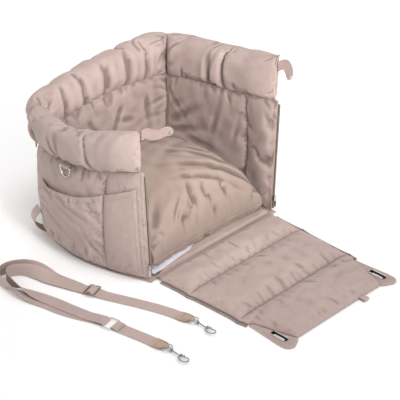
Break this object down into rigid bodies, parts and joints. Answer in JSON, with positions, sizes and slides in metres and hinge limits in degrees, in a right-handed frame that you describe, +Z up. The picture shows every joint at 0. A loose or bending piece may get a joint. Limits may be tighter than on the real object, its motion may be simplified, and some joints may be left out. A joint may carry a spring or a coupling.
{
  "type": "dog car seat",
  "caption": "Soft-walled dog car seat tub with a stuffed rim, lift-out cushion, zip-in front flap, side pocket, hanging D-rings and a loose shoulder strap with swivel snap hooks.",
  "frame": {"origin": "middle of the underside of the base panel, on the surface that the seat rests on", "axes": "+Z up; the open front with its flap faces -Y; +X to the right seen from the front"},
  "size_m": [0.7182, 0.8103, 0.3949],
  "materials": {
    "shell_cloth": "matte",
    "cushion_cloth": "matte",
    "lining_cloth": "matte",
    "base_board": "matte",
    "zip": "matte",
    "webbing": "matte",
    "strap_patch": "matte",
    "nickel": "polished",
    "dark_steel": "satin"
  },
  "bodies": {
    "tub": {"back_left_ring_loop": "webbing", "back_right_ring_loop": "webbing", "back_rim_roll": "shell_cloth", "back_wall": "shell_cloth", "base_board": "base_board", "base_lining": "lining_cloth", "base_panel": "shell_cloth", "left_belt_loop": "webbing", "left_pocket_panel": "shell_cloth", "left_rim_roll": "shell_cloth", "left_ring_loop": "webbing", "left_wall": "shell_cloth", "left_wall_zip": "zip", "right_belt_loop": "webbing", "right_rim_roll": "shell_cloth", "right_ring_loop": "webbing", "right_wall": "shell_cloth", "right_wall_zip": "zip"},
    "front_flap": {"front_flap_panel": "shell_cloth", "left_flap_zip": "zip", "right_flap_zip": "zip", "left_flap_ear": "shell_cloth", "right_flap_ear": "shell_cloth", "left_flap_eyelet": "nickel", "right_flap_eyelet": "nickel", "flap_pull_loop": "webbing"},
    "cushion": {"cushion": "cushion_cloth"},
    "shoulder_strap": {"strap_webbing_long": "webbing", "strap_webbing_short": "webbing", "strap_slide": "nickel", "strap_ring": "nickel", "strap_patch_upper": "strap_patch", "strap_patch_lower": "strap_patch"},
    "left_zip_slider": {"left_zip_slider": "nickel"},
    "left_zip_pull": {"left_zip_pull": "nickel"},
    "left_snap_tab": {"left_snap_tab": "shell_cloth", "left_snap_stud": "nickel"},
    "right_zip_slider": {"right_zip_slider": "nickel"},
    "right_zip_pull": {"right_zip_pull": "nickel"},
    "right_snap_tab": {"right_snap_tab": "shell_cloth", "right_snap_stud": "nickel"},
    "left_d_ring": {"left_d_ring": "nickel"},
    "right_d_ring": {"right_d_ring": "nickel"},
    "back_left_d_ring": {"back_left_d_ring": "nickel"},
    "back_right_d_ring": {"back_right_d_ring": "nickel"},
    "upper_hook_eye": {"hook_eye_upper": "nickel"},
    "upper_snap_hook": {"snap_hook_upper": "dark_steel"},
    "upper_hook_gate": {"hook_gate_upper": "dark_steel"},
    "lower_hook_eye": {"hook_eye_lower": "nickel"},
    "lower_snap_hook": {"snap_hook_lower": "dark_steel"},
    "lower_hook_gate": {"hook_gate_lower": "dark_steel"}
  },
  "joints": [
    {"name": "flap_hinge", "type": "hinge", "parent": "tub", "child": "front_flap", "pos_m": [0, -0.1945, 0.004], "axis": [-1, 0, 0], "range_deg": [0, 90]},
    {"name": "cushion_lift", "type": "slide", "parent": "tub", "child": "cushion", "axis": [0, 0, 1], "range_m": [0, 0.12]},
    {"name": "strap_lift", "type": "slide", "parent": "tub", "child": "shoulder_strap", "axis": [0, 0, 1], "range_m": [0, 0.3]},
    {"name": "left_zip_travel", "type": "slide", "parent": "tub", "child": "left_zip_slider", "axis": [-0.05, 0, 0.9988], "range_m": [0, 0.2252]},
    {"name": "left_zip_pull_swing", "type": "hinge", "parent": "left_zip_slider", "child": "left_zip_pull", "pos_m": [-0.20599, -0.1876, 0.04105], "axis": [0, 1, 0], "range_deg": [0, 120]},
    {"name": "left_tab_flex", "type": "hinge", "parent": "tub", "child": "left_snap_tab", "pos_m": [-0.20257, -0.16532, 0.36147], "axis": [0, 0, 1], "range_deg": [-30, 15], "stiffness_Nm_per_rad": 0.05},
    {"name": "right_zip_travel", "type": "slide", "parent": "tub", "child": "right_zip_slider", "axis": [0.0482, 0, 0.9988], "range_m": [0, 0.2352]},
    {"name": "right_zip_pull_swing", "type": "hinge", "parent": "right_zip_slider", "child": "right_zip_pull", "pos_m": [0.20593, -0.1876, 0.04106], "axis": [0, -1, 0], "range_deg": [0, 120]},
    {"name": "right_tab_flex", "type": "hinge", "parent": "tub", "child": "right_snap_tab", "pos_m": [0.21724, -0.17541, 0.37369], "axis": [0, 0, 1], "range_deg": [-60, 0], "stiffness_Nm_per_rad": 0.05},
    {"name": "left_ring_swing", "type": "hinge", "parent": "tub", "child": "left_d_ring", "pos_m": [-0.25352, 0.0257, 0.22994], "axis": [0.0352, 0.9994, 0], "range_deg": [0, 80]},
    {"name": "right_ring_swing", "type": "hinge", "parent": "tub", "child": "right_d_ring", "pos_m": [0.239, 0.0251, 0.25084], "axis": [0.0125, -0.9999, 0], "range_deg": [0, 80]},
    {"name": "back_left_ring_swing", "type": "hinge", "parent": "tub", "child": "back_left_d_ring", "pos_m": [-0.20531, 0.17677, 0.22904], "axis": [0.689, 0.7247, 0], "range_deg": [0, 80]},
    {"name": "back_right_ring_swing", "type": "hinge", "parent": "tub", "child": "back_right_d_ring", "pos_m": [0.20377, 0.17787, 0.23867], "axis": [0.6647, -0.7471, 0], "range_deg": [0, 80]},
    {"name": "upper_eye_swing", "type": "hinge", "parent": "shoulder_strap", "child": "upper_hook_eye", "pos_m": [-0.24682, -0.35845, 0.0062], "axis": [-0.9986, 0.052, 0], "range_deg": [0, 75]},
    {"name": "upper_hook_swivel", "type": "hinge", "parent": "upper_hook_eye", "child": "upper_snap_hook", "pos_m": [-0.24682, -0.35845, 0.0062], "axis": [-0.052, -0.9986, 0], "continuous": true},
    {"name": "upper_gate_pivot", "type": "hinge", "parent": "upper_snap_hook", "child": "upper_hook_gate", "pos_m": [-0.24592, -0.40276, 0.0062], "axis": [0, 0, -1], "range_deg": [0, 35], "stiffness_Nm_per_rad": 0.02, "springref_deg": -17.19},
    {"name": "lower_eye_swing", "type": "hinge", "parent": "shoulder_strap", "child": "lower_hook_eye", "pos_m": [-0.35536, -0.38822, 0.0062], "axis": [-0.995, 0.1, 0], "range_deg": [0, 75]},
    {"name": "lower_hook_swivel", "type": "hinge", "parent": "lower_hook_eye", "child": "lower_snap_hook", "pos_m": [-0.35536, -0.38822, 0.0062], "axis": [-0.1, -0.995, 0], "continuous": true},
    {"name": "lower_gate_pivot", "type": "hinge", "parent": "lower_snap_hook", "child": "lower_hook_gate", "pos_m": [-0.3566, -0.43252, 0.0062], "axis": [0, 0, -1], "range_deg": [0, 35], "stiffness_Nm_per_rad": 0.02, "springref_deg": -17.19}
  ]
}
